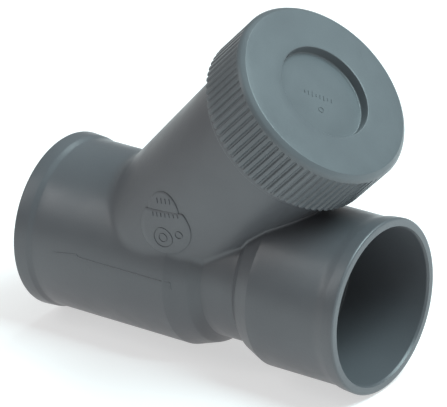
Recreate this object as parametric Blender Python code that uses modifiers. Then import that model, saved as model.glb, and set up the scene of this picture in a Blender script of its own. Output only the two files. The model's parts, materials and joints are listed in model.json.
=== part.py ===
"""Y strainer for 75 mm solvent-weld pipe: a moulded body, a screw cap and the screen cartridge it carries.

Frame: the origin is the centre of the inlet mouth, +X runs downstream to the outlet, and the branch leans
45 degrees from +X towards +Z. Each round piece is turned about the local Z of an empty, on the run's axis or
the branch's. Dimensions are in millimetres and are turned into metres as each mesh is made.
"""

import math

import bmesh
import bpy
from mathutils import Matrix

MM = 0.001

# Run: sockets for 75 mm pipe, a barrel, a shoulder and a neck
RUN_LENGTH = 184.2
SOCKET_BORE_R = 37.6
SOCKET_DEPTH = 44.0
MOUTH_CHAMFER = 0.9
INLET_R = 41.4
INLET_LIP_R = 43.0
OUTLET_R = 40.6
OUTLET_LIP_R = 42.2
LIP_LENGTH = 8.0
LIP_BLEND = 1.6
LIP_DRAFT = 0.5
LIP_BEVEL = 1.2
SHOULDER_START = 88.0
SHOULDER_R = 37.6
SHOULDER_END = 99.5
NECK_R = 33.4
NECK_START = 104.2
NECK_END = 122.0
BACK_SHOULDER_R = 37.1
BACK_SHOULDER_START = 126.2
BACK_SHOULDER_END = 134.8
INLET_BORE_R = 34.8
INLET_BORE_END = 84.0
INLET_CONE_R = 29.5
INLET_CONE_END = 98.0
OUTLET_BORE_R = 29.6

# Branch, measured along its own axis from where that axis crosses the run's
BRANCH_X = 52.9
BRANCH_ANGLE = math.radians(45.0)
BRANCH_START = 4.0
BRANCH_END = 134.8
BRANCH_BORE_R = 34.2

# The branch's outside narrows and leans a little towards the outlet on its way down from the bead
BRANCH_TOP_R = 39.6
BRANCH_ROOT_R = 38.2
BRANCH_LEAN = math.radians(1.37)

BEAD_R = 41.6
BEAD_START = 107.2
BEAD_LENGTH = 3.2
BEAD_EDGE = 0.8
SEAT_AT = 26.0
SEAT_WEB = 4.0
SEAT_HOLE_R = 27.0

# Thread, one start and right-handed
PITCH = 5.0
THREAD_ROOT_R = 38.6
THREAD_CREST_R = 41.2
THREAD_BASE = 3.5
THREAD_TOP = 1.4
THREAD_BURY = 0.8
MALE_START = 118.0
MALE_TURNS = 2.7
FEMALE_START = MALE_START - PITCH / 2
FEMALE_TURNS = 2.9
THREAD_STEPS = 36
THREAD_PHASE = 0.013
THREAD_RUNOUT = 0.12
THREAD_END_HEIGHT = 0.12

# Cap
CAP_BOTTOM = 113.4
CAP_FACE = 142.1
CAP_R = 46.3
CAP_INNER_R = 42.0
CAP_THREAD_R = 39.4
CAP_UNDERSIDE = 138.0
CAP_ROUND = 3.0
CAP_ROUND_STEPS = 4
CAP_BAND_AT = 138.8
RIB_COUNT = 80
RIB_DEPTH = 0.9
RECESS_R = 23.6
RECESS_DEPTH = 4.8
SPIGOT_R = 26.4
SPIGOT_BORE_R = 23.2
SPIGOT_BOTTOM = 126.0
SPIGOT_BEVEL = 0.8
WELL_UNDERSIDE = 133.8

# Screen cartridge
GAP = 0.3
TUBE_R = 28.6
TUBE_WALL = 1.2
TUBE_FACETS = 32
HOLES_AROUND = TUBE_FACETS // 2
HOLE_ROWS = 7
HOLE_WIDTH = 5.0
HOLE_HEIGHT = 6.0
MESH_WALL = 0.5
RING_R = 31.6
RING_LAP = 6.0
RING_BEVEL = 1.2
FLANGE_R = 33.8
FLANGE = 3.0
SEAL_THICKNESS = 3.0
SEAL_R = 33.4
SEAL_HOLE_R = 27.6
TOP_RING_R = 30.2

# Roundness, and how far a cutter runs past what it cuts
ROUND = 56
RING_STEPS = 48
SHARP = math.radians(30.0)
PAST = 2.0
BLOCK = 200.0

for old in list(bpy.data.objects):
    bpy.data.objects.remove(old, do_unlink=True)

part_collection = bpy.data.collections.new("y_strainer")
cutter_collection = bpy.data.collections.new("cutters")
for collection in (part_collection, cutter_collection):
    bpy.context.scene.collection.children.link(collection)

run_axis = bpy.data.objects.new("run_axis", None)
run_axis.rotation_euler.y = math.pi / 2
branch_axis = bpy.data.objects.new("branch_axis", None)
branch_axis.location.x = BRANCH_X * MM
branch_axis.rotation_euler.y = BRANCH_ANGLE
tube_axis = bpy.data.objects.new("branch_tube_axis", None)
tube_axis.parent = branch_axis
tube_axis.location.z = BEAD_START * MM
tube_axis.rotation_euler.y = -BRANCH_LEAN
for axis in (run_axis, branch_axis, tube_axis):
    part_collection.objects.link(axis)


def material(name, colour, roughness, metallic=0.0):
    """A plain material for one sub-part."""
    made = bpy.data.materials.new(name)
    made.use_nodes = True
    shader = made.node_tree.nodes["Principled BSDF"]
    shader.inputs["Base Color"].default_value = (*colour, 1.0)
    shader.inputs["Roughness"].default_value = roughness
    shader.inputs["Metallic"].default_value = metallic
    return made


def add_object(name, mesh, axis, finish=None):
    """An object on an axis: a part if it has a finish, and a cutter if not."""
    made = bpy.data.objects.new(name, mesh)
    made.parent = axis
    if finish:
        mesh.materials.append(finish)
        part_collection.objects.link(made)
    else:
        cutter_collection.objects.link(made)
        made.hide_render = True
        made.display_type = "WIRE"
    return made


def from_bmesh(name, bm, axis):
    """A cutter whose bmesh is in millimetres."""
    bmesh.ops.scale(bm, vec=(MM, MM, MM), verts=bm.verts)
    bmesh.ops.recalc_face_normals(bm, faces=bm.faces)
    mesh = bpy.data.meshes.new(name)
    bm.to_mesh(mesh)
    bm.free()
    return add_object(name, mesh, axis)


def turned(name, profile, axis, finish=None, steps=ROUND):
    """A solid turned about an axis. Its (radius, height) profile runs down the outer side, top to bottom.
    It is open where it starts and ends on the axis, and otherwise closes on itself, as a ring's does."""
    mesh = bpy.data.meshes.new(name)
    count = len(profile)
    closing = [] if profile[0][0] == 0 else [(count - 1, 0)]
    edges = [(i, i + 1) for i in range(count - 1)] + closing
    mesh.from_pydata([(r * MM, 0, z * MM) for r, z in profile], edges, [])
    made = add_object(name, mesh, axis, finish)
    screw = made.modifiers.new("turn", "SCREW")
    screw.steps = screw.render_steps = steps
    screw.use_merge_vertices = True
    screw.merge_threshold = 0.00001
    return made


def boolean(target, tool, operation):
    """Join target with a tool that stays in the cutter collection, or cut it."""
    step = target.modifiers.new(tool.name, "BOOLEAN")
    step.operation = operation
    step.solver = "EXACT"
    step.object = tool
    return target


def block(name, axis, bottom):
    """A big cube on an axis, from a height upwards."""
    bm = bmesh.new()
    bmesh.ops.create_cube(bm, size=BLOCK, matrix=Matrix.Translation((0, 0, bottom + BLOCK / 2)))
    return from_bmesh(name, bm, axis)


def thread(name, root, crest, start, turns):
    """A helical ridge on the branch's axis, lofted so that its crest sinks into its root at both ends."""
    bm = bmesh.new()
    steps = round(turns * THREAD_STEPS)
    fade = THREAD_RUNOUT * THREAD_STEPS
    buried = root + math.copysign(THREAD_BURY, root - crest)
    sections = []
    for i in range(steps + 1):
        angle = 2 * math.pi * i / THREAD_STEPS + THREAD_PHASE
        rise = start + PITCH * i / THREAD_STEPS
        tip = root + (crest - root) * min(1.0, THREAD_END_HEIGHT + min(i, steps - i) / fade)
        outline = (
            (buried, rise - THREAD_BASE / 2),
            (tip, rise - THREAD_TOP / 2),
            (tip, rise + THREAD_TOP / 2),
            (buried, rise + THREAD_BASE / 2),
        )
        sections.append([bm.verts.new((r * math.cos(angle), r * math.sin(angle), z)) for r, z in outline])
    for a, b in zip(sections, sections[1:]):
        for k in range(len(a)):
            n = (k + 1) % len(a)
            bm.faces.new((a[k], a[n], b[n], b[k]))
    bm.faces.new(sections[0])
    bm.faces.new(sections[-1])
    bmesh.ops.triangulate(bm, faces=bm.faces)
    return from_bmesh(name, bm, branch_axis)


def ribbed_prism(name, root, crest, bottom, top):
    """A prism on the branch's axis with RIB_COUNT straight ribs: a cylinder whose every other edge is sunk."""
    bm = bmesh.new()
    bmesh.ops.create_cone(
        bm, cap_ends=True, segments=RIB_COUNT * 2, radius1=crest, radius2=crest, depth=top - bottom,
        matrix=Matrix.Translation((0, 0, (top + bottom) / 2)),
    )
    for vert in bm.verts:
        edge = round(math.atan2(vert.co.y, vert.co.x) * RIB_COUNT / math.pi)
        if edge % 2:
            vert.co.xy *= root / crest
    return from_bmesh(name, bm, branch_axis)


def hole_rows(name, radius, wall, bottom, top):
    """Rows of small blocks that stand through a tube's wall, each in the middle of a facet."""
    bm = bmesh.new()
    size = Matrix.Diagonal((wall + PAST, HOLE_WIDTH, HOLE_HEIGHT, 1.0))
    for row in range(HOLE_ROWS):
        height = bottom + (top - bottom) * (row + 0.5) / HOLE_ROWS
        place = Matrix.Translation((radius - wall / 2, 0, height))
        for step in range(HOLES_AROUND):
            spin = Matrix.Rotation(2 * math.pi * (step + 0.25) / HOLES_AROUND, 4, "Z")
            bmesh.ops.create_cube(bm, size=1.0, matrix=spin @ place @ size)
    return from_bmesh(name, bm, branch_axis)


def ring(name, inner, outer, bottom, top, finish):
    """A plain flat ring on the branch's axis."""
    profile = [(inner, top), (outer, top), (outer, bottom), (inner, bottom)]
    return turned(name, profile, branch_axis, finish, RING_STEPS)


def plug(name, radius, bottom, top, axis):
    """A plain cylinder on an axis, for cutting with."""
    return turned(name, [(0, top), (radius, top), (radius, bottom), (0, bottom)], axis)


def shade(part):
    """Apply a part's modifiers, and shade it smooth but for its sharp edges."""
    mesh = bpy.data.meshes.new_from_object(part.evaluated_get(bpy.context.evaluated_depsgraph_get()))
    mesh.shade_smooth()
    mesh.set_sharp_from_angle(angle=SHARP)
    part.modifiers.clear()
    part.data = mesh
    mesh.name = part.name


# ---- Body ----
outlet_half = [
    (0, RUN_LENGTH),
    (OUTLET_LIP_R - LIP_BEVEL, RUN_LENGTH),
    (OUTLET_LIP_R, RUN_LENGTH - LIP_BEVEL),
    (OUTLET_LIP_R - LIP_DRAFT, RUN_LENGTH - LIP_LENGTH),
    (OUTLET_R, RUN_LENGTH - LIP_LENGTH - LIP_BLEND),
    (OUTLET_R, BACK_SHOULDER_END),
    (BACK_SHOULDER_R, BACK_SHOULDER_START),
    (NECK_R, NECK_END),
]
inlet_half = [
    (NECK_R, NECK_START),
    (SHOULDER_R, SHOULDER_END),
    (INLET_R, SHOULDER_START),
    (INLET_R, LIP_LENGTH + LIP_BLEND),
    (INLET_LIP_R - LIP_DRAFT, LIP_LENGTH),
    (INLET_LIP_R, LIP_BEVEL),
    (INLET_LIP_R - LIP_BEVEL, 0),
    (0, 0),
]
y_body = turned("y_body", outlet_half + inlet_half, run_axis, material("body_pvc", (0.105, 0.125, 0.14), 0.38))
tube_length = BEAD_START - BRANCH_START
boolean(y_body, turned("tool_branch_tube", [
    (0, BEAD_EDGE),
    (BRANCH_TOP_R, BEAD_EDGE),
    (BRANCH_ROOT_R, -tube_length),
    (0, -tube_length),
], tube_axis), "UNION")
boolean(y_body, turned("tool_branch_end", [
    (0, BRANCH_END),
    (THREAD_ROOT_R, BRANCH_END),
    (THREAD_ROOT_R, BEAD_START + BEAD_LENGTH + BEAD_EDGE),
    (BEAD_R, BEAD_START + BEAD_LENGTH),
    (BEAD_R, BEAD_START + BEAD_EDGE),
    (THREAD_ROOT_R, BEAD_START - BEAD_EDGE),
    (0, BEAD_START - BEAD_EDGE),
], branch_axis), "UNION")
boolean(y_body, thread("tool_thread", THREAD_ROOT_R, THREAD_CREST_R, MALE_START, MALE_TURNS), "UNION")


def socket_space(name, mouth, stop):
    """A pipe socket's space: its bore with a chamfer at the mouth, running a little past the mouth."""
    past = math.copysign(PAST, mouth - stop)
    profile = [
        (0, mouth + past),
        (SOCKET_BORE_R + MOUTH_CHAMFER + PAST, mouth + past),
        (SOCKET_BORE_R, mouth - math.copysign(MOUTH_CHAMFER, past)),
        (SOCKET_BORE_R, stop),
        (0, stop),
    ]
    return turned(name, profile if mouth > stop else profile[::-1], run_axis)


# The two bores stop at the web that the screen sits on, one below it and one above
inlet_bore = turned("tool_inlet_bore", [
    (0, INLET_CONE_END),
    (INLET_CONE_R, INLET_CONE_END),
    (INLET_BORE_R, INLET_BORE_END),
    (INLET_BORE_R, SOCKET_DEPTH - PAST),
    (0, SOCKET_DEPTH - PAST),
], run_axis)
boolean(inlet_bore, block("tool_above_web", branch_axis, SEAT_AT - SEAT_WEB), "DIFFERENCE")
outlet_bore = plug("tool_outlet_bore", OUTLET_BORE_R, BRANCH_X, RUN_LENGTH - SOCKET_DEPTH + PAST, run_axis)
boolean(outlet_bore, block("tool_past_seat", branch_axis, SEAT_AT + 2 * GAP), "INTERSECT")
chamber = turned("tool_chamber", [
    (0, BRANCH_END + PAST),
    (BRANCH_BORE_R, BRANCH_END + PAST),
    (BRANCH_BORE_R, SEAT_AT),
    (SEAT_HOLE_R, SEAT_AT),
    (SEAT_HOLE_R, SEAT_AT - SEAT_WEB - PAST / 2),
    (0, SEAT_AT - SEAT_WEB - PAST / 2),
], branch_axis)
inlet_socket = socket_space("tool_inlet_socket", 0, SOCKET_DEPTH)
outlet_socket = socket_space("tool_outlet_socket", RUN_LENGTH, RUN_LENGTH - SOCKET_DEPTH)
for space in (inlet_socket, outlet_socket, inlet_bore, outlet_bore, chamber):
    boolean(y_body, space, "DIFFERENCE")

# ---- Cap ----
bends = [math.pi / 2 * k / CAP_ROUND_STEPS for k in range(CAP_ROUND_STEPS + 1)]
cap_edge = [(CAP_R - CAP_ROUND * (1 - math.sin(a)), CAP_FACE - CAP_ROUND * (1 - math.cos(a))) for a in bends]
screw_cap = turned("screw_cap", [
    (0, CAP_FACE - RECESS_DEPTH),
    (RECESS_R, CAP_FACE - RECESS_DEPTH),
    (RECESS_R, CAP_FACE),
    *cap_edge,
    (CAP_R, CAP_BAND_AT),
    (CAP_R - RIB_DEPTH - GAP, CAP_BAND_AT),
    (CAP_R - RIB_DEPTH - GAP, CAP_BOTTOM),
    (0, CAP_BOTTOM),
], branch_axis, material("cap_pvc", (0.14, 0.19, 0.21), 0.34))
ribs = ribbed_prism("tool_ribs", CAP_R - RIB_DEPTH, CAP_R - 0.02, CAP_BOTTOM + GAP, CAP_BAND_AT + 0.1)
boolean(screw_cap, ribs, "UNION")
boolean(screw_cap, turned("tool_cap_space", [
    (0, WELL_UNDERSIDE),
    (SPIGOT_BORE_R, WELL_UNDERSIDE),
    (SPIGOT_BORE_R, SPIGOT_BOTTOM),
    (SPIGOT_R - SPIGOT_BEVEL, SPIGOT_BOTTOM),
    (SPIGOT_R, SPIGOT_BOTTOM + SPIGOT_BEVEL),
    (SPIGOT_R, CAP_UNDERSIDE),
    (CAP_INNER_R, CAP_UNDERSIDE),
    (CAP_INNER_R, CAP_BOTTOM - PAST),
    (0, CAP_BOTTOM - PAST),
], branch_axis), "DIFFERENCE")
boolean(screw_cap, thread("tool_cap_thread", CAP_INNER_R, CAP_THREAD_R, FEMALE_START, FEMALE_TURNS), "UNION")
ring("cap_gasket", BRANCH_BORE_R + 0.4, THREAD_ROOT_R - 0.2, BRANCH_END + GAP, CAP_UNDERSIDE - GAP,
     material("gasket_epdm", (0.018, 0.018, 0.02), 0.7))

# ---- Screen cartridge ----
seal_bottom = SEAT_AT + GAP
flange_bottom = seal_bottom + SEAL_THICKNESS + GAP
flange_top = flange_bottom + FLANGE
tube_bottom = flange_top + GAP
tube_top = SPIGOT_BOTTOM - 2.6
top_ring_top = CAP_UNDERSIDE - GAP - 3.0
tube_bore_r = TUBE_R - TUBE_WALL
mesh_r = TUBE_R + GAP
lap_r = mesh_r + MESH_WALL + GAP

ring("screen_seat_seal", SEAL_HOLE_R, SEAL_R, seal_bottom, seal_bottom + SEAL_THICKNESS,
     material("seal_epdm", (0.02, 0.02, 0.022), 0.7))
turned("screen_bottom_ring", [
    (lap_r, tube_bottom + RING_LAP),
    (RING_R, tube_bottom + RING_LAP),
    (RING_R, flange_top + RING_BEVEL),
    (FLANGE_R, flange_top),
    (FLANGE_R, flange_bottom),
    (tube_bore_r, flange_bottom),
    (tube_bore_r, flange_top),
    (lap_r, flange_top),
], branch_axis, material("bottom_ring_pp", (0.1, 0.11, 0.12), 0.45), RING_STEPS)
turned("screen_top_ring", [
    (SPIGOT_R + GAP, top_ring_top),
    (TOP_RING_R, top_ring_top),
    (TOP_RING_R, tube_top + RING_BEVEL + 2.0),
    (RING_R, tube_top + 2.0),
    (RING_R, tube_top - RING_LAP),
    (lap_r, tube_top - RING_LAP),
    (lap_r, tube_top + GAP),
    (SPIGOT_R + GAP, tube_top + GAP),
], branch_axis, material("top_ring_pp", (0.1, 0.11, 0.12), 0.45), RING_STEPS)
screen_tube = turned("screen_tube", [
    (tube_bore_r, tube_top),
    (TUBE_R, tube_top),
    (TUBE_R, tube_bottom),
    (tube_bore_r, tube_bottom),
], branch_axis, material("tube_pp", (0.5, 0.52, 0.52), 0.5), TUBE_FACETS)
boolean(screen_tube, hole_rows("tool_holes", TUBE_R, TUBE_WALL, tube_bottom, tube_top), "DIFFERENCE")
ring("screen_mesh", mesh_r, mesh_r + MESH_WALL, tube_bottom, tube_top,
     material("mesh_steel", (0.55, 0.55, 0.56), 0.35, 1.0))

for part in part_collection.objects:
    if part.type == "MESH":
        shade(part)
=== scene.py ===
"""Y strainer for glued plastic pipe: the detailed model, its materials, the floor, lights and camera."""

import json
import math

import bmesh
import bpy
import numpy as np
from mathutils import Matrix, Vector


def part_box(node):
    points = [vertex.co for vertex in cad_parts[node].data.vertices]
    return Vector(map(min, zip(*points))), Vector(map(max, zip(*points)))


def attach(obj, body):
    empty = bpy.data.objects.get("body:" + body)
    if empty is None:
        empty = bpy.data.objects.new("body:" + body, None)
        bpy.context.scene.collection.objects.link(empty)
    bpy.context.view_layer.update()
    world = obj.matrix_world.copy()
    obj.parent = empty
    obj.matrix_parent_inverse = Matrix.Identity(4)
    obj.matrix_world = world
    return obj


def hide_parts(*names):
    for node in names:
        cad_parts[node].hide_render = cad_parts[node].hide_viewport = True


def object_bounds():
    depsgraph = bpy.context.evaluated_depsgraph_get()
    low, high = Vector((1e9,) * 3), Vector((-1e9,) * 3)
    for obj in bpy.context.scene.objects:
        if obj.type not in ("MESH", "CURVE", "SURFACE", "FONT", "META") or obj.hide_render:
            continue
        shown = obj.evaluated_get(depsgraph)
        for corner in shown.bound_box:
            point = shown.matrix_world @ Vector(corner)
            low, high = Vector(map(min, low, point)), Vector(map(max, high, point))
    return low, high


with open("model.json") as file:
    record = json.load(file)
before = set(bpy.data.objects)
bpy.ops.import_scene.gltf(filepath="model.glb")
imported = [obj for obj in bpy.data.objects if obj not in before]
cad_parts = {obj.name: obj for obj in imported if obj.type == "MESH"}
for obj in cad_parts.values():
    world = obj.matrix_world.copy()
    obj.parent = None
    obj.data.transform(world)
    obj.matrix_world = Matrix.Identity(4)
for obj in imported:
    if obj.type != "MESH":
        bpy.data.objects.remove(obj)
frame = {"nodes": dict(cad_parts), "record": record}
cad_low, cad_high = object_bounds()
MM = 0.001

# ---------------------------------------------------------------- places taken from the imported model
joints = {j["name"]: j for j in frame["record"]["behaviour"]["joints"]}
mounts = {m["name"]: m for m in frame["record"]["mounts"]}
AXIS = Vector(joints["cap_turn"]["axis"]).normalized()
AXIS_POINT = Vector(joints["cap_turn"]["pos_m"]) / MM
LEAN = math.atan2(AXIS.x, AXIS.z)
BRANCH_X = AXIS_POINT.x - AXIS_POINT.z * AXIS.x / AXIS.z
RUN_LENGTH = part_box("y_body")[1][0] / MM
LIFT_SLACK = 1.005
PITCH = joints["cap_lift"]["range_m"][1] / MM / (joints["cap_turn"]["range_deg"][1] / 360.0) / LIFT_SLACK
INLET_STOP = mounts["inlet_stop"]["pos_m"][0] / MM
OUTLET_STOP = mounts["outlet_stop"]["pos_m"][0] / MM

RUN_FRAME = Matrix.Rotation(math.pi / 2, 4, "Y")
BRANCH_FRAME = Matrix.Translation((BRANCH_X * MM, 0, 0)) @ Matrix.Rotation(LEAN, 4, "Y")

# ---------------------------------------------------------------- sizes, in millimetres
INLET_LIP_R, INLET_R = 43.0, 41.4
OUTLET_LIP_R, OUTLET_R = 42.2, 40.6
LIP, LIP_DRAFT = 8.0, 0.5
SOCKET_BORE_R = 37.6
SHOULDER_START, SHOULDER_END, SHOULDER_R = 88.0, 99.5, 37.6
NECK_START, NECK_END, NECK_R = 104.2, 122.0, 33.4
REAR_SHOULDER_START, REAR_SHOULDER_END, REAR_SHOULDER_R = 126.2, 134.8, 37.1
INLET_BORE_R, INLET_BORE_END, NOSE_R, NOSE_END = 34.8, 84.0, 29.5, 98.0
OUTLET_BORE_R = 29.6
TUBE_TOP_R, TUBE_ROOT_R, TUBE_LEAN = 39.6, 38.2, math.radians(1.37)
TUBE_SPAN, TUBE_START, TUBE_STOP = 103.2, 9.0, 0.75
THREAD_ROOT_R, BRANCH_END, BORE_R = 38.6, 134.8, 34.2
THREAD_CREST_R, THREAD_START, THREAD_TURNS = 41.2, 118.0, 2.7
CAP_THREAD_R, CAP_THREAD_TURNS = 39.4, 2.9
SEAT_AT, SEAT_WEB, SEAT_HOLE_R = 26.0, 4.0, 27.0
BEAD_AT, BEAD_R = 107.2, 41.6
CAP_BOTTOM, CAP_FACE, CAP_R = 113.4, 142.1, 46.3
CAP_FACE_R, CAP_INNER_R, RIBS_TOP = 43.2, 42.0, 138.8
RECESS_R, RECESS_DEPTH = 23.6, 4.8
CAP_UNDERSIDE, WELL_UNDERSIDE = 138.0, 133.8
SPIGOT_R, SPIGOT_BORE_R, SPIGOT_BOTTOM = 26.4, 23.2, 126.0
RIB_COUNT, RIB_DEPTH, RIB_SAMPLES = 80, 0.95, 10
SLEEVE_R, WIRE_R, SLEEVE_BOTTOM, SLEEVE_TOP = 29.03, 0.13, 32.9, 123.4
SLEEVE_WIRES, SLEEVE_HOOPS = 120, 60
# How wide the fillet between branch and run is, at places along the run
FILLET_AT, FILLET_WIDTH = (10.0, 30.0, 60.0, 90.0, 130.0), (3.0, 3.4, 4.5, 2.0, 2.0)
FILLET_FULL_ABOVE = 0.29
SMOOTHING_ROUNDS, SMOOTHING_STEP, PULLS_PER_ROUND = 14, 0.6, 3
STEPS = 144


# ---------------------------------------------------------------- mesh helpers
def rounded(points, radii, most=1.0):
    """A (radius, height) outline with its corners rounded. radii has one number per point, 0 for a sharp one."""
    out = []
    count = len(points)
    for i, (point, radius) in enumerate(zip(points, radii)):
        p = np.array(point, float)
        if radius == 0 or i in (0, count - 1):
            out.append(tuple(p))
            continue
        a, b = np.array(points[i - 1], float) - p, np.array(points[i + 1], float) - p
        la, lb = np.linalg.norm(a), np.linalg.norm(b)
        a, b = a / la, b / lb
        turn = math.acos(max(-1.0, min(1.0, float(a @ b))))
        if math.pi - turn < 0.02:
            out.append(tuple(p))
            continue
        reach = min(radius / math.tan(turn / 2), 0.48 * la, 0.48 * lb)
        radius = reach * math.tan(turn / 2)
        middle = p + (a + b) / np.linalg.norm(a + b) * radius / math.sin(turn / 2)
        first, last = p + a * reach - middle, p + b * reach - middle
        bend = math.acos(max(-1.0, min(1.0, float(first @ last) / radius**2)))
        cuts = max(2, math.ceil(bend / 0.26))
        for k in range(cuts + 1):
            t = k / cuts
            arc = (math.sin((1 - t) * bend) * first + math.sin(t * bend) * last) / math.sin(bend)
            out.append(tuple(middle + arc))
    return out


def stretched(points, longest):
    """The same outline with its long stretches cut up."""
    out = [points[0]]
    for a, b in zip(points, points[1:]):
        cuts = max(1, math.ceil(math.dist(a, b) / longest))
        out += [tuple(a[i] + (b[i] - a[i]) * k / cuts for i in (0, 1)) for k in range(1, cuts + 1)]
    return out


def lathe(outline, steps=STEPS, closed=False):
    """Revolve an outline of (radius, height) about Z. closed joins its last point to its first."""
    bm = bmesh.new()
    rings = []
    for radius, height in outline:
        if radius < 1e-9:
            rings.append([bm.verts.new((0, 0, height))] * steps)
        else:
            rings.append([
                bm.verts.new((radius * math.cos(a), radius * math.sin(a), height))
                for a in (2 * math.pi * i / steps for i in range(steps))
            ])
    for k in range(len(rings) if closed else len(rings) - 1):
        low, high = rings[k], rings[(k + 1) % len(rings)]
        for i in range(steps):
            j = (i + 1) % steps
            corners = list(dict.fromkeys((low[i], low[j], high[j], high[i])))
            if len(corners) > 2:
                bm.faces.new(corners)
    bmesh.ops.recalc_face_normals(bm, faces=bm.faces)
    return bm


def piece(name, bm, frame_matrix, body=None, material=None, sharp=32.0):
    """Make a smooth-shaded object from a bmesh in millimetres, and let it ride on a body."""
    bmesh.ops.transform(bm, matrix=frame_matrix @ Matrix.Scale(MM, 4), verts=bm.verts)
    bmesh.ops.recalc_face_normals(bm, faces=bm.faces)
    mesh = bpy.data.meshes.new(name)
    bm.to_mesh(mesh)
    bm.free()
    mesh.shade_smooth()
    mesh.set_sharp_from_angle(angle=math.radians(sharp))
    made = bpy.data.objects.new(name, mesh)
    bpy.context.scene.collection.objects.link(made)
    if material:
        mesh.materials.append(material)
    if body:
        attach(made, body)
    return made


def boolean(target, tool, operation):
    """Join or cut target with tool, apply the result and throw the tool away."""
    step = target.modifiers.new("step", "BOOLEAN")
    step.operation, step.solver, step.object = operation, "EXACT", tool
    result = bpy.data.meshes.new_from_object(target.evaluated_get(bpy.context.evaluated_depsgraph_get()))
    target.modifiers.clear()
    old = target.data
    target.data = result
    bpy.data.meshes.remove(old)
    bpy.data.objects.remove(tool, do_unlink=True)


# ---------------------------------------------------------------- body: outside
run_corners = [
    ((0, 0), 0), ((INLET_LIP_R, 0), 1.3), ((INLET_LIP_R - LIP_DRAFT, LIP - 0.2), 3.0), ((INLET_R, LIP + 2.4), 3.0),
    ((INLET_R, SHOULDER_START), 1.6), ((SHOULDER_R, SHOULDER_END), 3.0), ((NECK_R, NECK_START), 0.8),
    ((NECK_R, NECK_END), 0.6), ((REAR_SHOULDER_R, REAR_SHOULDER_START), 1.2), ((OUTLET_R, REAR_SHOULDER_END), 1.2),
    ((OUTLET_R, RUN_LENGTH - LIP - 3.0), 14.0), ((OUTLET_LIP_R - LIP_DRAFT, RUN_LENGTH - LIP + 1.6), 10.0),
    ((OUTLET_LIP_R, RUN_LENGTH), 1.2), ((0, RUN_LENGTH), 0),
]
run_outline = rounded([c for c, _ in run_corners], [r for _, r in run_corners])
end_corners = [
    ((0, BEAD_AT - 0.8), 0), ((39.0, BEAD_AT - 0.8), 0), ((BEAD_R, BEAD_AT + 0.6), 0.8),
    ((BEAD_R, BEAD_AT + 3.3), 0.7), ((THREAD_ROOT_R, BEAD_AT + 4.0), 0.8), ((THREAD_ROOT_R, BRANCH_END), 0.6),
    ((0, BRANCH_END), 0),
]
end_outline = rounded([c for c, _ in end_corners], [r for _, r in end_corners])

# The branch's tube tapers and leans a little; its frame starts at the bead
TUBE_FRAME = BRANCH_FRAME @ Matrix.Translation((0, 0, BEAD_AT * MM)) @ Matrix.Rotation(-TUBE_LEAN, 4, "Y")
TUBE_FOOT = 6.0 - BEAD_AT
TUBE_TAPER = (TUBE_TOP_R - TUBE_ROOT_R) / TUBE_SPAN

body = piece("y_body_shell", lathe(stretched(run_outline, 3.0)), RUN_FRAME)
tube_outline = [
    (0, TUBE_FOOT), (TUBE_TOP_R + TUBE_TAPER * TUBE_FOOT, TUBE_FOOT), (TUBE_TOP_R, TUBE_STOP), (0, TUBE_STOP),
]
boolean(body, piece("tube_tool", lathe(stretched(tube_outline, 3.0)), TUBE_FRAME), "UNION")
boolean(body, piece("end_tool", lathe(stretched(end_outline, 3.0)), BRANCH_FRAME), "UNION")

run_r = np.array([p[0] for p in run_outline[1:-1]])
run_x = np.array([p[1] for p in run_outline[1:-1]]) + np.arange(len(run_r)) * 1e-6
end_r = np.array([p[0] for p in end_outline[1:-1]])
end_s = np.array([p[1] for p in end_outline[1:-1]]) + np.arange(len(end_r)) * 1e-6
AX, AZ = AXIS.x, AXIS.z


def apart(points):
    """How far points are outside the run's surface and the branch's, the fillet's width there, and how sharply
    the two surfaces meet, from 0 to 1. All in millimetres."""
    x, y, z = points.T
    rho = np.hypot(y, z)
    slope = np.gradient(run_r, run_x)
    tilt = 1 / np.sqrt(1 + np.interp(x, run_x, np.clip(slope, -3, 3)) ** 2)
    from_run = (rho - np.interp(x, run_x, run_r)) * tilt
    s = (x - BRANCH_X) * AX + z * AZ
    u = (x - BRANCH_X) * AZ - z * AX
    from_end = np.hypot(u, y) - np.interp(s, end_s, end_r) + 2 * np.maximum(0, BEAD_AT - 0.8 - s)
    up = (s - BEAD_AT) * math.cos(TUBE_LEAN) - u * math.sin(TUBE_LEAN)
    u = u * math.cos(TUBE_LEAN) + (s - BEAD_AT) * math.sin(TUBE_LEAN)
    across = np.hypot(u, y)
    past_ends = 2 * np.maximum(0, TUBE_START - s) + 2 * np.maximum(0, up - TUBE_STOP)
    from_tube = across - TUBE_TOP_R - TUBE_TAPER * up + past_ends
    from_branch = np.minimum(from_tube, from_end)
    # The fillet is widest along the flanks and tight in the crotch, and dies away where the surfaces run side by side
    alike = (z / np.maximum(rho, 1)) * (-AX * u) / np.maximum(across, 1) + y * y / np.maximum(rho * across, 1)
    meeting = np.clip((1 - alike) / FILLET_FULL_ABOVE, 0.04, 1.0)
    width = np.interp(x, FILLET_AT, FILLET_WIDTH) * meeting
    return from_run, from_branch, width, meeting


def run_distance(points):
    return apart(points)[0]


def branch_distance(points):
    return apart(points)[1]


def melted(points):
    """Distance to the union of run and branch with a fillet between them."""
    a, b, k, _ = apart(points)
    h = np.maximum(k - np.abs(a - b), 0) / k
    return np.minimum(a, b) - h * h * k / 4


def slope_of(field, points, step=0.02):
    """The gradient of a distance field at the points."""
    grad = np.empty_like(points)
    for axis in range(3):
        move = np.zeros(3)
        move[axis] = step
        grad[:, axis] = (field(points + move) - field(points - move)) / (2 * step)
    return grad


def junction_zone(points, margin=1.0):
    """Which points lie where the fillet changes the surface, or within a margin of it."""
    a, b, k, meeting = apart(points)
    return (np.abs(a - b) < k + margin * meeting) & (np.minimum(a, b) > -1.5)


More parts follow.
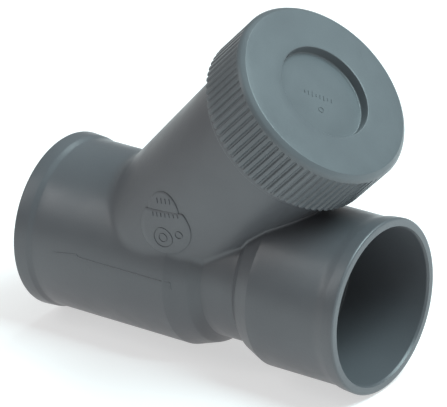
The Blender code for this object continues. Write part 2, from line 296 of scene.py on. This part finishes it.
def refine_junction(obj):
    """Give the seam between run and branch an even, fine mesh, then pull it onto the fillet."""
    bm = bmesh.new()
    bm.from_mesh(obj.data)
    bm.verts.ensure_lookup_table()
    for longest in (3.0, 1.7, 1.2):
        where = np.array([v.co[:] for v in bm.verts]) / MM
        near = junction_zone(where, 1.5)
        faces = [f for f in bm.faces if len(f.verts) > 3 and any(near[v.index] for v in f.verts)]
        bmesh.ops.triangulate(bm, faces=faces, ngon_method="BEAUTY")
        long_ones = [
            e for e in bm.edges
            if near[e.verts[0].index] and near[e.verts[1].index] and e.calc_length() > longest * MM
        ]
        bmesh.ops.subdivide_edges(bm, edges=long_ones, cuts=1, use_grid_fill=False)
        bm.verts.index_update()
        bm.verts.ensure_lookup_table()
    where = np.array([v.co[:] for v in bm.verts]) / MM
    near = junction_zone(where, 1.5)
    bmesh.ops.triangulate(
        bm, faces=[f for f in bm.faces if len(f.verts) > 3 and any(near[v.index] for v in f.verts)],
        ngon_method="BEAUTY",
    )
    movable = junction_zone(where, 0.5)
    links = [(v.index, o.other_vert(v).index) for v in bm.verts if movable[v.index] for o in v.link_edges]
    here, there = np.array(links).T
    count = np.bincount(here, minlength=len(where))[:, None]
    for _ in range(SMOOTHING_ROUNDS):
        total = np.zeros_like(where)
        np.add.at(total, here, where[there])
        where[movable] += SMOOTHING_STEP * (total[movable] / count[movable] - where[movable])
        for _ in range(PULLS_PER_ROUND):
            grad = slope_of(melted, where[movable])
            size = np.maximum((grad**2).sum(1, keepdims=True), 0.25)
            where[movable] -= np.clip(melted(where[movable])[:, None] * grad / size, -1.5, 1.5)
    for v in bm.verts:
        if movable[v.index]:
            v.co = where[v.index] * MM
    bm.to_mesh(obj.data)
    bm.free()


refine_junction(body)


# ---------------------------------------------------------------- body: inside
def inner_tool(corners, steps=112):
    outline = rounded([c for c, _ in corners], [r for _, r in corners])
    return lathe(outline, steps)


def clipped(bm, height, keep_above):
    """Cut a bmesh in the run's own frame by a plane across the branch, and close the cut."""
    across = Vector((-math.sin(LEAN), 0, math.cos(LEAN)))
    cut = bmesh.ops.bisect_plane(
        bm, geom=bm.verts[:] + bm.edges[:] + bm.faces[:], plane_co=across * height, plane_no=across,
        clear_inner=keep_above, clear_outer=not keep_above,
    )
    bmesh.ops.holes_fill(bm, edges=[e for e in cut["geom_cut"] if isinstance(e, bmesh.types.BMEdge)])
    return bm


def socket_space(mouth, stop, out):
    """The space of one pipe socket: a rounded mouth, a slight taper and a flat bottom."""
    return inner_tool([
        ((0, mouth + out * 2.0), 0), ((SOCKET_BORE_R + 1.9, mouth + out * 2.0), 0),
        ((SOCKET_BORE_R + 0.7, mouth), 0.3), ((SOCKET_BORE_R, mouth - out * 1.2), 1.0),
        ((SOCKET_BORE_R - 0.15, stop), 0.3), ((0, stop), 0),
    ], 144)


PLANE = BRANCH_X * math.cos(LEAN)
spaces = (
    (socket_space(0.0, INLET_STOP, -1), RUN_FRAME),
    (socket_space(RUN_LENGTH, OUTLET_STOP, 1), RUN_FRAME),
    (clipped(inner_tool([
        ((0, INLET_STOP - 2), 0), ((INLET_BORE_R, INLET_STOP - 2), 0), ((INLET_BORE_R, INLET_BORE_END), 5.0),
        ((NOSE_R, NOSE_END), 3.0), ((0, NOSE_END), 0),
    ]), PLANE + SEAT_AT - SEAT_WEB, False), RUN_FRAME),
    (clipped(inner_tool([
        ((0, BRANCH_X), 0), ((OUTLET_BORE_R, BRANCH_X), 0), ((OUTLET_BORE_R, OUTLET_STOP + 2), 0),
        ((0, OUTLET_STOP + 2), 0),
    ]), PLANE + SEAT_AT + 0.6, True), RUN_FRAME),
    (inner_tool([
        ((0, SEAT_AT - SEAT_WEB - 1), 0), ((SEAT_HOLE_R, SEAT_AT - SEAT_WEB - 1), 0), ((SEAT_HOLE_R, SEAT_AT), 0.4),
        ((BORE_R, SEAT_AT), 1.0), ((BORE_R, BRANCH_END - 1.0), 0.6), ((BORE_R + 1.6, BRANCH_END + 1.0), 0),
        ((0, BRANCH_END + 1.0), 0),
    ]), BRANCH_FRAME),
)
for space, placed in spaces:
    boolean(body, piece("space_tool", space, placed), "DIFFERENCE")


def set_body_normals(obj):
    """Smooth shading by angle, with the fillet's own slope used where run and branch melt together."""
    mesh = obj.data
    mesh.shade_smooth()
    mesh.set_sharp_from_angle(angle=math.radians(32))
    points = np.empty(len(mesh.vertices) * 3)
    mesh.vertices.foreach_get("co", points)
    points = points.reshape(-1, 3) / MM
    a, b, k, _ = apart(points)
    skin = (np.abs(melted(points)) < 0.2) & (np.abs(a - b) < 14.0)
    normals = np.empty(len(mesh.loops) * 3)
    mesh.corner_normals.foreach_get("vector", normals)
    normals = normals.reshape(-1, 3)
    corner = np.empty(len(mesh.loops), int)
    mesh.loops.foreach_get("vertex_index", corner)
    total = np.empty(len(mesh.polygons), int)
    mesh.polygons.foreach_get("loop_total", total)
    face = np.repeat(np.arange(len(total)), total)
    centres = np.empty(len(mesh.polygons) * 3)
    mesh.polygons.foreach_get("center", centres)
    face_a, face_b, _, _ = apart(centres.reshape(-1, 3) / MM)
    on_run = (np.abs(face_a) < np.abs(face_b))[face]
    in_fillet = (np.abs(a - b) < k)[corner]
    use = skin[corner] & (np.abs(melted(centres.reshape(-1, 3) / MM)) < 0.4)[face]
    for field, chosen in ((melted, use & in_fillet), (run_distance, use & ~in_fillet & on_run),
                          (branch_distance, use & ~in_fillet & ~on_run)):
        grad = slope_of(field, points[corner[chosen]])
        normals[chosen] = grad / np.linalg.norm(grad, axis=1, keepdims=True)
    mesh.normals_split_custom_set(normals.tolist())


set_body_normals(body)


# ---------------------------------------------------------------- materials
def shader_material(name, colour, dark, light, roughness, spread, speckle, grain, bump, metallic=0.0, specular=0.5):
    """Moulded or rolled stock: drifting colour, fine speckle, uneven gloss with faint scuffs, and a skin texture."""
    made = bpy.data.materials.new(name)
    made.use_nodes = True
    tree = made.node_tree
    shader = tree.nodes["Principled BSDF"]
    shader.inputs["Metallic"].default_value = metallic
    shader.inputs["Specular IOR Level"].default_value = specular
    place = tree.nodes.new("ShaderNodeTexCoord").outputs["Object"]

    def noise(scale, detail, rough=0.5, distortion=0.0):
        node = tree.nodes.new("ShaderNodeTexNoise")
        node.inputs["Scale"].default_value = scale
        node.inputs["Detail"].default_value = detail
        node.inputs["Roughness"].default_value = rough
        node.inputs["Distortion"].default_value = distortion
        tree.links.new(place, node.inputs["Vector"])
        return node.outputs["Fac"]

    def ramp(source, stops):
        node = tree.nodes.new("ShaderNodeValToRGB")
        while len(node.color_ramp.elements) < len(stops):
            node.color_ramp.elements.new(0.5)
        for element, (at, value) in zip(node.color_ramp.elements, stops):
            element.position = at
            element.color = (*value, 1.0) if isinstance(value, tuple) else (value, value, value, 1.0)
        tree.links.new(source, node.inputs["Fac"])
        return node.outputs["Color"]

    def mixed(kind, factor, a, b):
        node = tree.nodes.new("ShaderNodeMix")
        node.data_type, node.blend_type = "RGBA", kind
        node.inputs[0].default_value = factor
        tree.links.new(a, node.inputs[6])
        tree.links.new(b, node.inputs[7])
        return node.outputs[2]

    drift = ramp(noise(14.0, 3.0, 0.55, 0.6), ((0.3, dark), (0.5, colour), (0.72, light)))
    specks = ramp(noise(1900.0, 2.0, 0.6), ((0.3, 1.0 - speckle), (0.55, 1.0), (0.78, 1.0 + speckle * 0.4)))
    tree.links.new(mixed("MULTIPLY", 1.0, drift, specks), shader.inputs["Base Color"])

    uneven = ramp(noise(55.0, 4.0, 0.6, 0.3), ((0.3, roughness - spread), (0.7, roughness + spread)))
    scuffs = ramp(noise(260.0, 6.0, 0.75, 2.0), ((0.60, 0.0), (0.74, spread * 1.6)))
    tree.links.new(mixed("ADD", 1.0, uneven, scuffs), shader.inputs["Roughness"])

    skin = tree.nodes.new("ShaderNodeBump")
    skin.inputs["Strength"].default_value = bump
    skin.inputs["Distance"].default_value = 0.00012
    tree.links.new(noise(grain, 3.0, 0.55), skin.inputs["Height"])
    tree.links.new(skin.outputs["Normal"], shader.inputs["Normal"])
    return made


BODY_PVC = shader_material("body_pvc_moulded", (0.090, 0.093, 0.101), (0.082, 0.085, 0.093), (0.099, 0.102, 0.110),
                           roughness=0.36, spread=0.05, speckle=0.05, grain=650.0, bump=0.35)
# The cap is the same grey PVC as the body. This copy is a touch lighter and bluer: a painted tint for the cool key
# light on the cap's face.
CAP_PVC_PAINTED_TINT = shader_material("cap_pvc_painted_cool_tint", (0.094, 0.103, 0.111), (0.086, 0.094, 0.102), (0.103, 0.112, 0.120),
                          roughness=0.36, spread=0.05, speckle=0.05, grain=650.0, bump=0.35)
RUBBER = shader_material("epdm_rubber", (0.018, 0.018, 0.020), (0.013, 0.013, 0.014), (0.026, 0.026, 0.028),
                         roughness=0.72, spread=0.08, speckle=0.12, grain=900.0, bump=0.6)
RING_PP = shader_material("ring_polypropylene", (0.10, 0.11, 0.12), (0.09, 0.10, 0.11), (0.115, 0.125, 0.135),
                          roughness=0.46, spread=0.06, speckle=0.06, grain=700.0, bump=0.4)
TUBE_PP = shader_material("tube_polypropylene", (0.50, 0.52, 0.52), (0.45, 0.47, 0.47), (0.56, 0.58, 0.58),
                          roughness=0.5, spread=0.06, speckle=0.05, grain=700.0, bump=0.4)
STEEL = shader_material("stainless_wire", (0.56, 0.56, 0.57), (0.48, 0.48, 0.49), (0.64, 0.64, 0.65),
                        roughness=0.32, spread=0.08, speckle=0.08, grain=2500.0, bump=0.3, metallic=1.0)

body.data.materials.clear()
body.data.materials.append(BODY_PVC)
for face in body.data.polygons:
    face.material_index = 0
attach(body, "valve_body")
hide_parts("y_body")


# ---------------------------------------------------------------- threads
def thread(root, crest, start, turns, steps=72):
    """A helical ridge about Z, right-handed, fading out at both ends, its foot sunk into the wall."""
    bm = bmesh.new()
    count = round(turns * steps)
    bury = math.copysign(0.35, root - crest)
    sections = []
    for i in range(count + 1):
        angle, rise = 2 * math.pi * i / steps + 0.013, start + PITCH * i / steps
        tall = min(1.0, 0.1 + min(i, count - i) / (0.12 * steps))
        tip = root + (crest - root) * tall
        shape = ((root + bury, -1.72), (tip * 0.82 + root * 0.18, -0.92), (tip, -0.55), (tip, 0.55),
                 (tip * 0.82 + root * 0.18, 0.92), (root + bury, 1.72))
        sections.append([bm.verts.new((r * math.cos(angle), r * math.sin(angle), rise + h)) for r, h in shape])
    for a, b in zip(sections, sections[1:]):
        for k in range(len(a)):
            n = (k + 1) % len(a)
            bm.faces.new((a[k], a[n], b[n], b[k]))
    bm.faces.new(sections[0])
    bm.faces.new(sections[-1])
    return bm


male = thread(THREAD_ROOT_R, THREAD_CREST_R, THREAD_START, THREAD_TURNS)
piece("branch_thread", male, BRANCH_FRAME, "valve_body", BODY_PVC, 50)
female = thread(CAP_INNER_R, CAP_THREAD_R, THREAD_START - PITCH / 2, CAP_THREAD_TURNS)
piece("cap_thread", female, BRANCH_FRAME, "cap", CAP_PVC_PAINTED_TINT, 50)

# ---------------------------------------------------------------- cap
cap_corners = [
    ((0, CAP_FACE - RECESS_DEPTH), 0), ((RECESS_R - 0.25, CAP_FACE - RECESS_DEPTH), 0.7),
    ((RECESS_R + 0.1, CAP_FACE), 0.5), ((CAP_FACE_R + 0.3, CAP_FACE), 0.4), ((CAP_R - 1.0, CAP_FACE - 1.5), 1.6),
    ((CAP_R, RIBS_TOP + 0.2), 0.4),
]
RIB_HEIGHTS = (RIBS_TOP, RIBS_TOP - 0.35, RIBS_TOP - 0.8, 132.0, 126.0, 120.0, CAP_BOTTOM + 0.9,
               CAP_BOTTOM + 0.25, CAP_BOTTOM)
RIB_SINK = (0.0, 0.55, 1.0, 1.0, 1.0, 1.0, 1.0, 1.0, 1.0)
RIB_INSET = (0.0, 0.0, 0.0, 0.0, 0.0, 0.0, 0.0, 0.12, 0.45)
cap_inside = [
    ((CAP_INNER_R + 0.5, CAP_BOTTOM), 0), ((CAP_INNER_R, CAP_BOTTOM + 0.7), 0), ((CAP_INNER_R, CAP_UNDERSIDE), 0.8),
    ((SPIGOT_R, CAP_UNDERSIDE), 0.8), ((SPIGOT_R, SPIGOT_BOTTOM + 0.9), 0.5), ((SPIGOT_R - 0.8, SPIGOT_BOTTOM), 0.3),
    ((SPIGOT_BORE_R, SPIGOT_BOTTOM), 0.4), ((SPIGOT_BORE_R, WELL_UNDERSIDE), 0.8), ((0, WELL_UNDERSIDE), 0),
]


def cap_mesh():
    """The cap as one grid round its axis: face, bevel, ribbed skirt, inside wall, spigot and well."""
    bm = bmesh.new()
    steps = RIB_COUNT * RIB_SAMPLES
    turns = [2 * math.pi * i / steps for i in range(steps)]
    groove = []
    for i in range(steps):
        across = (i % RIB_SAMPLES) / RIB_SAMPLES
        away = abs(across - 0.5) * 2
        groove.append(min(1.0, max(0.0, (away - 0.42) / 0.40)) ** 1.2)
    face = rounded([c for c, _ in cap_corners], [r for _, r in cap_corners])
    inside = rounded([c for c, _ in cap_inside], [r for _, r in cap_inside])
    rings = []

    def ring(radii, height):
        rings.append([bm.verts.new((r * math.cos(a), r * math.sin(a), height)) for r, a in zip(radii, turns)])

    for radius, height in stretched(face, 4.0):
        if radius < 1e-9:
            rings.append([bm.verts.new((0, 0, height))] * steps)
        else:
            ring([radius] * steps, height)
    for height, sink, inset in zip(RIB_HEIGHTS, RIB_SINK, RIB_INSET):
        ring([CAP_R - inset - RIB_DEPTH * sink * g for g in groove], height)
    for radius, height in inside:
        if radius < 1e-9:
            rings.append([bm.verts.new((0, 0, height))] * steps)
        else:
            ring([radius] * steps, height)
    for low, high in zip(rings, rings[1:]):
        for i in range(steps):
            j = (i + 1) % steps
            corners = list(dict.fromkeys((low[i], low[j], high[j], high[i])))
            if len(corners) > 2:
                bm.faces.new(corners)
    return bm


cap = piece("screw_cap_shell", cap_mesh(), BRANCH_FRAME, "cap", CAP_PVC_PAINTED_TINT, 38)
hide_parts("screw_cap")


# ---------------------------------------------------------------- seals and screen cartridge
def turned(name, corners, node, body_name, material, steps=128):
    outline = rounded([c for c, _ in corners] + [corners[0][0]], [r for _, r in corners] + [0])[:-1]
    made = piece(name, lathe(outline, steps, closed=True), BRANCH_FRAME, body_name, material)
    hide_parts(node)
    return made


def ring_corners(inner, outer, bottom, top, radius):
    middle = (inner + outer) / 2
    return [((middle, bottom), 0), ((outer, bottom), radius), ((outer, top), radius), ((inner, top), radius),
            ((inner, bottom), radius)]


gasket_corners = ring_corners(inner=34.9, outer=38.4, bottom=135.1, top=137.7, radius=0.7)
turned("cap_gasket_ring", gasket_corners, "cap_gasket", "cap", RUBBER)
seal_corners = ring_corners(inner=27.6, outer=33.4, bottom=26.3, top=29.3, radius=0.8)
turned("seat_seal_ring", seal_corners, "screen_seat_seal", "cartridge", RUBBER)
turned("bottom_ring", [
    ((30.0, 29.6), 0), ((33.8, 29.6), 0.5), ((33.8, 32.6), 0.5), ((31.6, 33.8), 0.5), ((31.6, 38.9), 0.5),
    ((29.7, 38.9), 0.3), ((29.7, 32.6), 0), ((27.4, 32.6), 0.3), ((27.4, 29.6), 0.5),
], "screen_bottom_ring", "cartridge", RING_PP)
turned("top_ring", [
    ((28.2, 123.7), 0), ((29.7, 123.7), 0), ((29.7, 117.4), 0.3), ((31.6, 117.4), 0.5), ((31.6, 125.7), 0.6),
    ((30.2, 127.1), 0.8), ((30.2, 134.7), 0.6), ((26.7, 134.7), 0.5), ((26.7, 123.7), 0),
], "screen_top_ring", "cartridge", RING_PP)
tube = frame["nodes"]["screen_tube"]
tube.data.materials.clear()
tube.data.materials.append(TUBE_PP)


def wire_sleeve(radius, wire, bottom, top, upright_wires, hoops):
    """A woven-wire sleeve: straight wires along the tube, and hoops wound round outside them."""
    bm = bmesh.new()
    sides = 5
    turns = [2 * math.pi * k / sides for k in range(sides)]
    loop = [(wire * math.cos(turn), wire * math.sin(turn)) for turn in turns]
    for i in range(upright_wires):
        turn = 2 * math.pi * i / upright_wires
        out = Vector((math.cos(turn), math.sin(turn), 0))
        side = Vector((-math.sin(turn), math.cos(turn), 0))
        ends = [
            [bm.verts.new(out * (radius + a) + side * b + Vector((0, 0, height))) for a, b in loop]
            for height in (bottom, top)
        ]
        for k in range(sides):
            n = (k + 1) % sides
            bm.faces.new((ends[0][k], ends[0][n], ends[1][n], ends[1][k]))
        bm.faces.new(ends[0])
        bm.faces.new(ends[1])
    for i in range(hoops):
        height = bottom + wire + (top - bottom - 2 * wire) * i / (hoops - 1)
        hoop = lathe([(radius + 1.8 * wire + a, height + b) for a, b in loop], 80, closed=True)
        spare = bpy.data.meshes.new("hoop")
        hoop.to_mesh(spare)
        hoop.free()
        bm.from_mesh(spare)
        bpy.data.meshes.remove(spare)
    return bm


woven = wire_sleeve(SLEEVE_R, WIRE_R, SLEEVE_BOTTOM, SLEEVE_TOP, SLEEVE_WIRES, SLEEVE_HOOPS)
sleeve = piece("wire_sleeve", woven, BRANCH_FRAME, "cartridge", STEEL, 80)
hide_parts("screen_mesh")


# ---------------------------------------------------------------- moulded marks
def on_tube(s, turn, height):
    """A point over the branch's tube: along its axis, round it from +X towards -Y in degrees, and out from it."""
    up, angle = s - BEAD_AT, math.radians(turn)
    radius = TUBE_TOP_R + TUBE_TAPER * up + height
    return Vector((radius * math.cos(angle), -radius * math.sin(angle), up))


def on_run(x, turn, height):
    """A point over the run: along it, above the -Y side in degrees, and out from it."""
    radius, angle = float(np.interp(x, run_x, run_r)) + height, math.radians(turn)
    return Vector((x, -radius * math.cos(angle), radius * math.sin(angle)))


def on_recess(a, b, height):
    """A point over the floor of the cap's recess."""
    return Vector((a, b, CAP_FACE - RECESS_DEPTH + height))


def ridge(path, wide, tall, place, scale, closed=False):
    """A low rounded ridge along a path on a surface. scale turns the path's second number into millimetres."""
    bm = bmesh.new()
    count = len(path)
    flat = [Vector((a, b * scale)) for a, b in path]
    shape = ((-0.5, -0.25), (-0.42, 0.55), (-0.2, 1.0), (0.2, 1.0), (0.42, 0.55), (0.5, -0.25))
    sections = []
    for i in range(count):
        before = flat[(i - 1) % count] if closed or i else flat[i]
        after = flat[(i + 1) % count] if closed or i < count - 1 else flat[i]
        along = (after - before).normalized()
        side = Vector((-along.y, along.x))
        spots = [(flat[i] + side * wide * w, h * tall if h > 0 else -0.25) for w, h in shape]
        sections.append([bm.verts.new(place(q.x, q.y / scale, h)) for q, h in spots])
    pairs = list(zip(sections, sections[1:])) + ([(sections[-1], sections[0])] if closed else [])
    for a, b in pairs:
        for k in range(len(shape)):
            n = (k + 1) % len(shape)
            bm.faces.new((a[k], a[n], b[n], b[k]))
    if not closed:
        bm.faces.new(sections[0])
        bm.faces.new(sections[-1])
    return bm


def plate(outline, centre, tall, place, scale):
    """A low flat plate on a curved surface, its edge bevelled: rings of the outline drawn in to its centre."""
    bm = bmesh.new()
    middle = Vector((centre[0], centre[1] * scale))
    flat = [Vector((a, b * scale)) for a, b in outline]
    rings = []
    for grow, height in ((1.0, -0.3), (1.0, 0.55 * tall), (0.985, 0.85 * tall), (0.965, tall), (0.8, tall),
                         (0.6, tall), (0.4, tall), (0.2, tall)):
        spots = [middle + (q - middle) * grow for q in flat]
        rings.append([bm.verts.new(place(q.x, q.y / scale, height)) for q in spots])
    for low, high in zip(rings, rings[1:]):
        for i in range(len(flat)):
            j = (i + 1) % len(flat)
            bm.faces.new((low[i], low[j], high[j], high[i]))
    bm.faces.new(rings[0])
    bm.faces.new(rings[-1])
    return bm


def arc_points(centre, radius, scale, first=0, last=360, count=40):
    """Points on a circle drawn in millimetres on the unrolled surface."""
    whole = last - first == 360
    turns = [math.radians(first + (last - first) * i / (count if whole else count - 1)) for i in range(count)]
    return [(centre[0] + radius * math.cos(t), centre[1] + radius * math.sin(t) / scale) for t in turns]


DEGREE = math.radians(TUBE_TOP_R)
CHORD_A, CHORD_B = Vector((42.6, 75.9)), Vector((62.9, 58.2))
chord_along = (CHORD_B - CHORD_A).normalized()
chord_up = Vector((-chord_along.y, chord_along.x))


def clipped_outline(points, below):
    """Keep an outline on one side of the badge's chord by sliding the rest of it down to the chord."""
    out = []
    for a, b in points:
        q = Vector((a, b * DEGREE))
        over = (q - CHORD_A) @ chord_up
        if (over > 0) == below:
            q = q - chord_up * over
        out.append((q.x, q.y / DEGREE))
    return out


BADGE, BADGE_R = (47.6, 60.7 / DEGREE), 14.2
HALF, HALF_R, HALF_MIDDLE = (52.6, 66.8 / DEGREE), 9.6, (54.9, 69.5 / DEGREE)
RING_SPOT, DOT_SPOT = (42.9, 57.6 / DEGREE), (51.2, 53.4 / DEGREE)
TICK_ALONG, TICK_UP = Vector((0.687, 0.727)), Vector((-0.727, 0.687))
marks = {
    "badge_disc": plate(
        clipped_outline(arc_points(BADGE, BADGE_R, DEGREE, count=96), True), BADGE, 0.55, on_tube, DEGREE),
    "badge_half": plate(
        clipped_outline(arc_points(HALF, HALF_R, DEGREE, count=72), False), HALF_MIDDLE, 0.4, on_tube, DEGREE),
    "badge_ring": ridge(arc_points(RING_SPOT, 5.0, DEGREE), 0.6, 0.85, on_tube, DEGREE, True),
    "badge_dot": ridge(arc_points(DOT_SPOT, 1.9, DEGREE, count=24), 0.5, 0.85, on_tube, DEGREE, True),
    "badge_core": ridge(arc_points(RING_SPOT, 2.2, DEGREE), 0.5, 0.85, on_tube, DEGREE, True),
    "recess_ring": ridge(arc_points((5.6, -4.4), 1.3, 1.0, count=24), 0.45, 0.25, on_recess, 1.0, True),
}
for i in range(7):
    spot = (46.2 + 2.0 * i, (68.3 - 1.5 * i) / DEGREE)
    marks[f"badge_tick_{i}"] = ridge([spot, (spot[0] + 1.0, spot[1] + 1.7 / DEGREE)], 0.55, 0.85, on_tube, DEGREE)
for i in range(4):
    spot = (52.6 + 2.2 * i, (71.5 - 1.6 * i) / DEGREE)
    marks[f"badge_bar_{i}"] = ridge([spot, (spot[0] + 1.2, spot[1] + 2.2 / DEGREE)], 0.55, 0.7, on_tube, DEGREE)
for i in range(8):
    spot, rise = TICK_ALONG * (2.1 * i - 8.0), TICK_UP * (0.7 + 0.3 * (i % 3))
    marks[f"recess_tick_{i}"] = ridge([tuple(spot - rise), tuple(spot + rise)], 0.5, 0.28, on_recess, 1.0)
for name, mark in marks.items():
    cap_side = name.startswith("recess")
    piece(name, mark, BRANCH_FRAME if cap_side else TUBE_FRAME, "cap" if cap_side else "valve_body",
          CAP_PVC_PAINTED_TINT if cap_side else BODY_PVC)

# The mould's parting line runs along the side of the body as a fine raised flash
flash = [(23.5, 4.6), (37.2, 7.9), (38.5, 6.2), (91.5, 6.3), (92.1, 1.6)]
flash = [
    (a[0] + (b[0] - a[0]) * k / 12, a[1] + (b[1] - a[1]) * k / 12)
    for a, b in zip(flash, flash[1:]) for k in range(12)
] + [flash[-1]]
piece("parting_line", ridge(flash, 0.5, 0.22, on_run, math.radians(INLET_R)), Matrix.Identity(4), "valve_body",
      BODY_PVC)

# ---------------------------------------------------------------- floor, light and camera
CENTRE = (Vector(cad_low) + Vector(cad_high)) / 2
FLOOR_SIZE, FLOOR_GREY, FLOOR_GLOW, SKY = 12.0, 0.56, 0.54, 0.30
bm = bmesh.new()
bmesh.ops.create_grid(bm, x_segments=2, y_segments=2, size=FLOOR_SIZE)
floor = piece("floor", bm, Matrix.Translation((0, 0, cad_low[2] - 0.0002)) @ Matrix.Scale(1 / MM, 4))
floor_paint = bpy.data.materials.new("floor_paint")
floor_paint.use_nodes = True
floor_shader = floor_paint.node_tree.nodes["Principled BSDF"]
floor_shader.inputs["Base Color"].default_value = (FLOOR_GREY, FLOOR_GREY, FLOOR_GREY, 1)
floor_shader.inputs["Roughness"].default_value = 0.8
floor_shader.inputs["Emission Color"].default_value = (1, 1, 1, 1)
floor_shader.inputs["Emission Strength"].default_value = FLOOR_GLOW
floor.data.materials.append(floor_paint)


def softbox(name, azimuth, elevation, distance, width, height, watts, colour=(1, 1, 1)):
    """A rectangular light looking at the object's middle. Azimuth and elevation are as the camera's."""
    data = bpy.data.lights.new(name, "AREA")
    data.shape, data.size, data.size_y, data.energy, data.color = "RECTANGLE", width, height, watts, colour
    lamp = bpy.data.objects.new(name, data)
    a, e = math.radians(azimuth), math.radians(elevation)
    away = Vector((math.sin(a) * math.cos(e), -math.cos(a) * math.cos(e), math.sin(e)))
    lamp.location = CENTRE + away * distance
    lamp.rotation_euler = away.to_track_quat("Z", "Y").to_euler()
    bpy.context.scene.collection.objects.link(lamp)


softbox("key_light", 104, 56, distance=1.4, width=0.9, height=0.7, watts=28, colour=(0.74, 0.97, 1.0))
softbox("left_light", -50, 34, distance=1.3, width=0.12, height=0.8, watts=2.6)
softbox("back_light", 175, 58, distance=1.5, width=1.0, height=0.6, watts=8, colour=(0.80, 0.98, 1.0))

world = bpy.data.worlds.new("studio")
world.use_nodes = True
world.node_tree.nodes["Background"].inputs["Color"].default_value = (1, 1, 1, 1)
world.node_tree.nodes["Background"].inputs["Strength"].default_value = SKY
bpy.context.scene.world = world
bpy.context.scene.view_settings.view_transform = "Standard"

AZIMUTH, ELEVATION, ROLL = math.radians(36.66), math.radians(24.22), math.radians(-1.61)
CAMERA_RIGHT, CAMERA_UP, CAMERA_BACK = 0.07533, 0.00667, 1.899
FLAT = math.cos(ELEVATION)
back = Vector((math.sin(AZIMUTH) * FLAT, -math.cos(AZIMUTH) * FLAT, math.sin(ELEVATION)))
level = Vector((math.cos(AZIMUTH), math.sin(AZIMUTH), 0))
upright = back.cross(level)
right = math.cos(ROLL) * level + math.sin(ROLL) * upright
up = -math.sin(ROLL) * level + math.cos(ROLL) * upright
camera_data = bpy.data.cameras.new("camera")
camera_data.lens, camera_data.sensor_width = 315.3, 36.0
camera_data.clip_end = 50.0
camera = bpy.data.objects.new("camera", camera_data)
spot = right * CAMERA_RIGHT + up * CAMERA_UP + back * CAMERA_BACK
camera.matrix_world = Matrix.Translation(spot) @ Matrix((right, up, back)).transposed().to_4x4()
bpy.context.scene.collection.objects.link(camera)
bpy.context.scene.camera = camera
